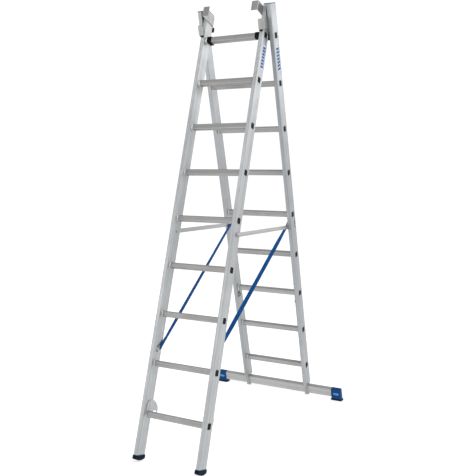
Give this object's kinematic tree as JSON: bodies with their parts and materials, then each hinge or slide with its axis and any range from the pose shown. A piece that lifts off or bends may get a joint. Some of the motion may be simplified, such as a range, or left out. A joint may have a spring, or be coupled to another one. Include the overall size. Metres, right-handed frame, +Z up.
{
  "type": "extension ladder",
  "caption": "Aluminium combination extension ladder standing as an A-frame, with wide cross bar, blue feet, folding spreader bars and webbing straps.",
  "frame": {"origin": "centre of the bounding box at floor level, between the front and rear feet", "axes": "+Z up, X across the rungs, +Y towards the rear section with the cross bar, -Y towards the front section"},
  "size_m": [0.9844, 1.5214, 2.5861],
  "materials": {
    "stile_aluminium": "mill-finish extruded profile, satin, fine lengthwise lines",
    "rung_aluminium": "ribbed extruded rung, satin",
    "fitting_aluminium": "plain extruded or cut sheet, satin",
    "black_plastic": "moulded, lightly grained",
    "blue_plastic": "moulded, satin",
    "navy_rubber": "moulded dark rubber boot",
    "black_rubber": "moulded tread rubber",
    "zinc_steel": "zinc plated",
    "blue_webbing": "woven polyester webbing"
  },
  "bodies": {
    "rear_section": {"rear_stile_left": "stile_aluminium", "rear_stile_right": "stile_aluminium", "rear_rung_1": "rung_aluminium", "rear_rung_2": "rung_aluminium", "rear_rung_3": "rung_aluminium", "rear_rung_4": "rung_aluminium", "rear_rung_5": "rung_aluminium", "rear_rung_6": "rung_aluminium", "rear_rung_7": "rung_aluminium", "rear_rung_8": "rung_aluminium", "rear_rung_9": "rung_aluminium", "rear_top_cap_left": "blue_plastic", "rear_top_cap_right": "blue_plastic", "rear_guide_left": "fitting_aluminium", "rear_guide_right": "fitting_aluminium", "rear_rung_sleeve_left": "black_plastic", "rear_rung_sleeve_right": "black_plastic", "traverse_bar": "fitting_aluminium", "traverse_foot_left": "blue_plastic", "traverse_foot_right": "blue_plastic", "traverse_sole_left": "black_rubber", "traverse_sole_right": "black_rubber", "traverse_clamp_left": "fitting_aluminium", "traverse_clamp_right": "fitting_aluminium", "spreader_bracket_left": "zinc_steel", "spreader_bracket_right": "zinc_steel", "strap_left": "blue_webbing", "strap_right": "blue_webbing"},
    "front_section": {"front_stile_left": "stile_aluminium", "front_stile_right": "stile_aluminium", "front_rung_1": "rung_aluminium", "front_rung_2": "rung_aluminium", "front_rung_3": "rung_aluminium", "front_rung_4": "rung_aluminium", "front_rung_5": "rung_aluminium", "front_rung_6": "rung_aluminium", "front_rung_7": "rung_aluminium", "front_rung_8": "rung_aluminium", "front_rung_9": "rung_aluminium", "front_foot_left": "navy_rubber", "front_foot_right": "navy_rubber", "front_top_cap_left": "blue_plastic", "front_top_cap_right": "blue_plastic", "front_guide_left": "fitting_aluminium", "front_guide_right": "fitting_aluminium", "rung_pad_left": "black_plastic", "rung_pad_right": "black_plastic", "stop_pad_left": "black_plastic", "stop_pad_right": "black_plastic", "spreader_stud_left": "zinc_steel", "spreader_stud_right": "zinc_steel", "strap_ring_left": "zinc_steel", "strap_ring_right": "zinc_steel", "rung_hook_left": "fitting_aluminium", "rung_hook_right": "fitting_aluminium"},
    "spreader_left": {"spreader_bar_left": "fitting_aluminium"},
    "spreader_right": {"spreader_bar_right": "fitting_aluminium"}
  },
  "joints": [
    {"name": "frame_fold", "type": "hinge", "parent": "rear_section", "child": "front_section", "pos_m": [0, 0.0653, 2.39757], "axis": [1, 0, 0], "range_deg": [0, 31.1], "deforming": ["strap_left", "strap_right"]},
    {"name": "spreader_fold_left", "type": "hinge", "parent": "rear_section", "child": "spreader_left", "pos_m": [-0.2127, 0.36033, 1.23402], "axis": [1, 0, 0], "range_deg": [-73.9, 0]},
    {"name": "spreader_fold_right", "type": "hinge", "parent": "rear_section", "child": "spreader_right", "pos_m": [0.2127, 0.36033, 1.23402], "axis": [1, 0, 0], "range_deg": [-73.9, 0]}
  ],
  "couplings": [
    {"joint": "spreader_fold_left", "follows": "frame_fold", "ratio": -2.376},
    {"joint": "spreader_fold_right", "follows": "frame_fold", "ratio": -2.376}
  ]
}
